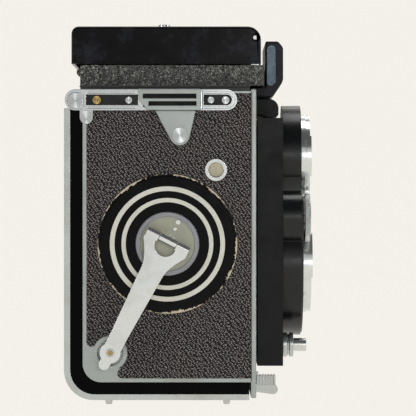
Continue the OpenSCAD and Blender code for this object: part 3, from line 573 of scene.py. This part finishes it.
def row(name, count, start, step, bar, material, node):
    """Equal bars laid out with Geometry Nodes and turned into a plain mesh; vectors in millimetres."""
    tree = bpy.data.node_groups.new(name, "GeometryNodeTree")
    given = {"Count": ("NodeSocketInt", count), "Start": ("NodeSocketVector", Vector(start) * mm),
             "Step": ("NodeSocketVector", Vector(step) * mm), "Bar": ("NodeSocketVector", Vector(bar) * mm)}
    keys = {label: tree.interface.new_socket(label, in_out="INPUT", socket_type=kind).identifier
            for label, (kind, value) in given.items()}
    tree.interface.new_socket("Mesh", in_out="OUTPUT", socket_type="NodeSocketGeometry")
    asked = add(tree, "NodeGroupInput").outputs
    line = add(tree, "GeometryNodeMeshLine", {"Count": asked["Count"], "Start Location": asked["Start"],
                                              "Offset": asked["Step"]})
    cube = add(tree, "GeometryNodeMeshCube", {"Size": asked["Bar"]})
    copies = add(tree, "GeometryNodeInstanceOnPoints", {"Points": line.outputs[0],
                                                        "Instance": cube.outputs[0]})
    real = add(tree, "GeometryNodeRealizeInstances", {"Geometry": copies.outputs[0]})
    painted = add(tree, "GeometryNodeSetMaterial", {"Geometry": real.outputs[0], "Material": material})
    add(tree, "NodeGroupOutput", {"Mesh": painted.outputs[0]})
    made = bpy.data.objects.new(name, bpy.data.meshes.new(name))
    scene.collection.objects.link(made)
    layout = made.modifiers.new("layout", "NODES")
    layout.node_group = tree
    for label, (kind, value) in given.items():
        layout[keys[label]] = value
    settle(made)
    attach(made, homes[node])


# The screen's grid of five by five fields, printed as fine red lines.
screen_low, screen_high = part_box("focusing_screen")
grid_red = enamel("red_screen_lines", "#7a2420", 0.6)
lines, pitch, length, width, height = 4, 11, 52, 0.15, 0.04
grid_x, grid_y = [(screen_low[axis] + screen_high[axis]) / 2 / mm for axis in (0, 1)]
grid_z = screen_high[2] / mm + height / 2
first = pitch * (lines - 1) / 2
row("grid_lines_across", lines, (grid_x - first, grid_y, grid_z), (pitch, 0, 0), (width, length, height),
    grid_red, "focusing_screen")
row("grid_lines_along", lines, (grid_x, grid_y - first, grid_z), (0, pitch, 0), (length, width, height),
    grid_red, "focusing_screen")


# ---------------------------------------------------------------------------
# Hood base: a pressed box under wrinkle paint, on a plain satin strip. The
# paint dries in a net of ridges about half a millimetre apart.
def wrinkle_paint(name):
    """Wrinkle paint coloured pale on its ridges and black in its furrows."""
    made, tree, shader, place = blank(name)
    drift = noise_map(tree, place, 0.9, 3)
    folds = add(tree, "ShaderNodeTexNoise", {"Vector": place, "Scale": 1 / (0.7 * mm), "Detail": 3,
                                             "Roughness": 0.7, "Distortion": 1.4}).outputs["Fac"]
    ridge = spread(tree, folds, 0.0, 1.0, 0.42, 0.64)
    tint = ramp(tree, ridge, [(0.0, "#101111"), (0.5, "#454745"), (1.0, "#c0c2b9")])
    shade = add(tree, "ShaderNodeHueSaturation", {"Color": tint, "Value": spread(tree, drift, 0.8, 1.2)})
    tree.links.new(shade.outputs["Color"], shader.inputs["Base Color"])
    shader.inputs["Roughness"].default_value = 0.52
    bump(tree, shader, ridge, 0.12, 0.9)
    return made


softened("hood_base", 0.35 * mm, wrinkle_paint("wrinkle_paint"))
softened("hood_trim", 0.2 * mm, enamel("grey_satin_strip", "#4c4d4e", 0.42))
softened("hinge_pins", 0.15 * mm, steel)


# ---------------------------------------------------------------------------
# Nameplate block and lid: pressings under glossy black lacquer, with finger
# smudges and a few dust specks in the gloss.
def lacquer(name, code, grime):
    """Glossy lacquer, dulled where it was handled by grime of another colour."""
    made, tree, shader, place = blank(name)
    smudge = noise_map(tree, place, 16, 6, 0.7)
    dust = noise_map(tree, place, 0.5, 2, 0.8)
    tree.links.new(mixed(tree, spread(tree, smudge, 0.0, 1.0, 0.52, 0.75), code, grime),
                   shader.inputs["Base Color"])
    tree.links.new(spread(tree, smudge, 0.14, 0.34, 0.35, 0.75), shader.inputs["Roughness"])
    shader.inputs["Specular IOR Level"].default_value = 0.14
    bump(tree, shader, dust, 0.004)
    return made


black_lacquer = lacquer("glossy_black_lacquer", "#050508", "#2c2f36")
softened("nameplate_block", 0.6 * mm, black_lacquer, 3)
strip_outline = [(40.4, 121.5), (40.4, 134.6), (41.2, 135.8), (43.0, 135.8),
                 (43.6, 135.0), (43.6, 121.9), (42.4, 120.6), (41.2, 120.6)]
strip_steel = plating("blued_steel_side_strip", "#56626b", 0.16, "#14191d", 0.05)
inlay("nameplate_sides", strip_outline, 28.12, 0.4, strip_steel)
softened("finder_cap", 0.3 * mm, satin_black)
softened("hood_lid", 0.15 * mm, black_lacquer, crown=1.0 * mm)
softened("lid_catch", 0.2 * mm, bright_chrome)

# Leaves of the hood: thin sheet, matt black on both faces against stray
# light. The magnifier swings in a black ring.
leaf_black = enamel("matt_black_leaf_paint", "#141517", 0.6)
for leaf in ("side_flap_left", "side_flap_right", "rear_flap"):
    softened(leaf, 0.12 * mm, leaf_black)
softened("magnifier_frame", 0.2 * mm, satin_black)
clear_glass = optic("clear_crown_glass", "#8d9a98", 0.3, 0.1)
softened("magnifier_lens", 0.3 * mm, clear_glass, 3)

# ---------------------------------------------------------------------------
# Back: a pressed L-shaped shell with plated edges, a satin black flange that
# seals into the body, leather on its rear, four feet and the tripod bush.
softened("door_shell", 0.4 * mm, satin_chrome, 3)
softened("door_frame", 0.25 * mm, enamel("satin_black_flange", "#040405", 0.4, gloss=0.05))
softened("door_leather", 0.15 * mm, leather)
softened("feet", 0.25 * mm, steel)
softened("tripod_bush", 0.3 * mm, steel)
softened("back_lock_ring", 0.2 * mm, satin_chrome)
softened("pressure_plate", 0.15 * mm, enamel("black_oxide_plate", "#1d1e20", 0.45))

# ---------------------------------------------------------------------------
# Film transport: brass gears, enamelled spools, a steel roller and two
# knurled spool knobs on the far side.
gear_brass = plating("cut_brass", "#c6a256", 0.25, "#94733a")
for gear in ("crank_gear", "idler_gear", "take_up_gear"):
    dress(gear, gear_brass)
spool_paint = enamel("black_spool_enamel", "#1b1b1d", 0.35)
softened("take_up_spool", 0.2 * mm, spool_paint)
softened("supply_spool", 0.2 * mm, spool_paint)
softened("film_roller", 0.2 * mm, steel)
softened("take_up_knob", 0.12 * mm, bright_chrome)
softened("supply_knob", 0.12 * mm, bright_chrome)

# ---------------------------------------------------------------------------
# Front: a sliding lens standard under satin enamel, its crowned cover, the
# bright bayonet rings, the lenses, the shutter and the setting wheels.
softened("lens_standard", 1.3 * mm, satin_black, 3)
softened("lens_cover", 0.9 * mm, enamel("semi_gloss_black_enamel", "#0c0e10", 0.24, gloss=0.4), 3)
softened("viewing_ring", 0.25 * mm, bright_chrome)
softened("taking_ring", 0.25 * mm, bright_chrome)
softened("shutter_housing", 0.2 * mm, chamber_black)
coated_glass = optic("coated_front_element", "#15131f", 0.6, 1.0)
softened("viewing_lens", 0.3 * mm, clear_glass, 3)
softened("taking_lens", 0.3 * mm, coated_glass, 3)
for wheel in ("aperture_wheel", "speed_wheel"):
    softened(wheel, 0.1 * mm, satin_chrome)
softened("release_button", 0.2 * mm, bright_chrome, 3)
softened("release_collar", 0.25 * mm, satin_chrome)
softened("sync_socket", 0.15 * mm, steel)
softened("focus_lever", 0.15 * mm, satin_chrome)
